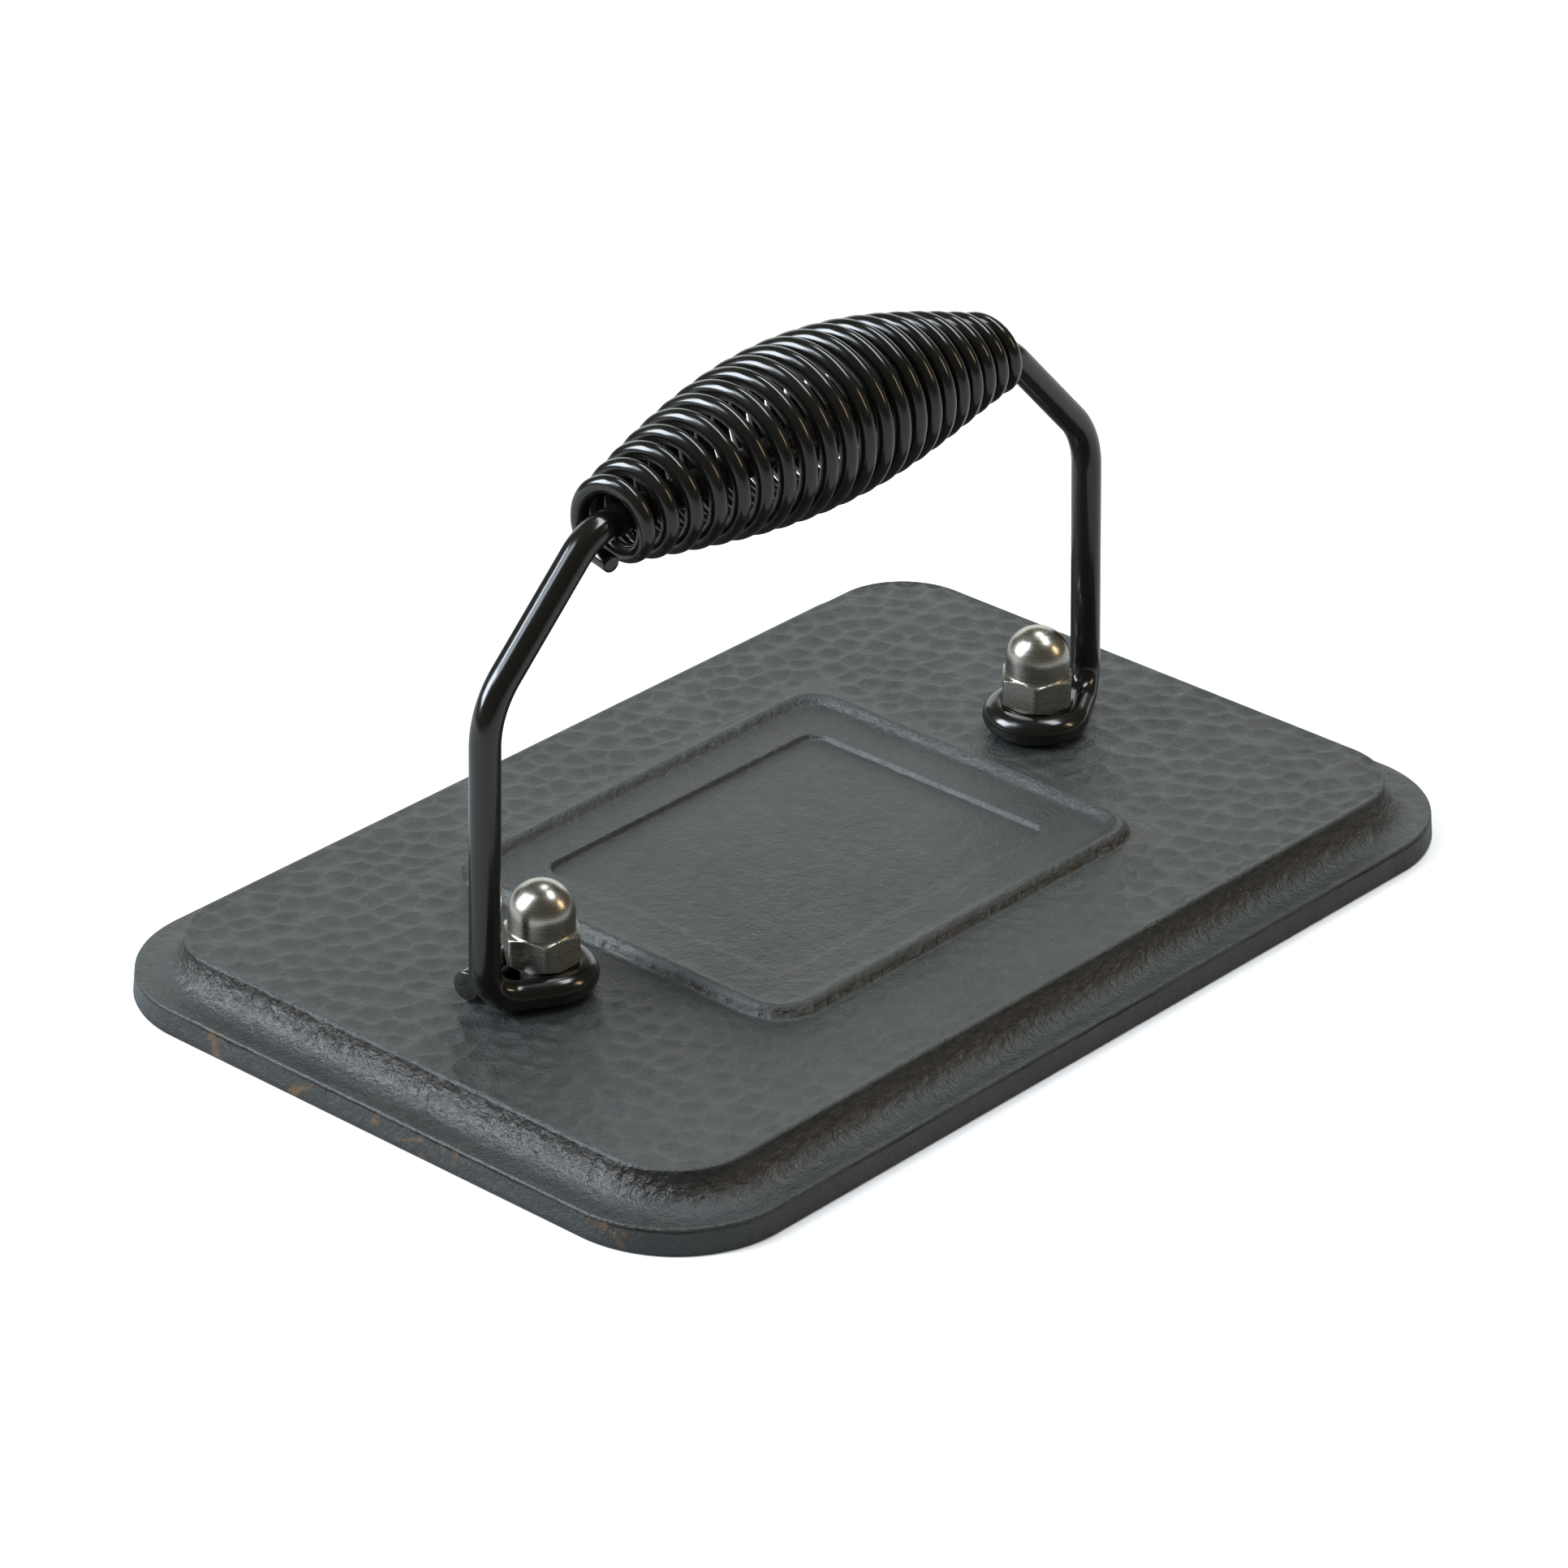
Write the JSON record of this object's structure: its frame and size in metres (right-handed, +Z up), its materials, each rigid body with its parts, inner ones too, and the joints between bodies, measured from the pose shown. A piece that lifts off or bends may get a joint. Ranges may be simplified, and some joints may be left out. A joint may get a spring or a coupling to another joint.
{
  "type": "grill press",
  "caption": "Flat rectangular cast press with a hammered top and an empty raised panel, carried by a bent wire handle with a loose barrel-shaped coil grip.",
  "frame": {"origin": "middle of the flat cooking face, on the surface that the press stands on", "axes": "+X along the long side and the handle, +Y across the plate, +Z up away from the cooking face"},
  "size_m": [0.1714, 0.114, 0.0882],
  "materials": {
    "plate": "dark seasoned casting with a satin oily sheen",
    "rod": "gloss black coating on steel rod",
    "coil": "gloss black coating on spring wire",
    "stud": "plain machined steel",
    "nut": "satin turned dome over plain flats"
  },
  "bodies": {
    "press": {"press_plate": "plate", "handle_bar": "rod", "stud_left": "stud", "stud_right": "stud", "cap_nut_left": "nut", "cap_nut_right": "nut"},
    "grip": {"coil_grip": "coil"}
  },
  "joints": [
    {"name": "grip_spin", "type": "hinge", "parent": "press", "child": "grip", "pos_m": [0, 0, 0.0737], "axis": [0.9999, 0, -0.015], "continuous": true}
  ]
}
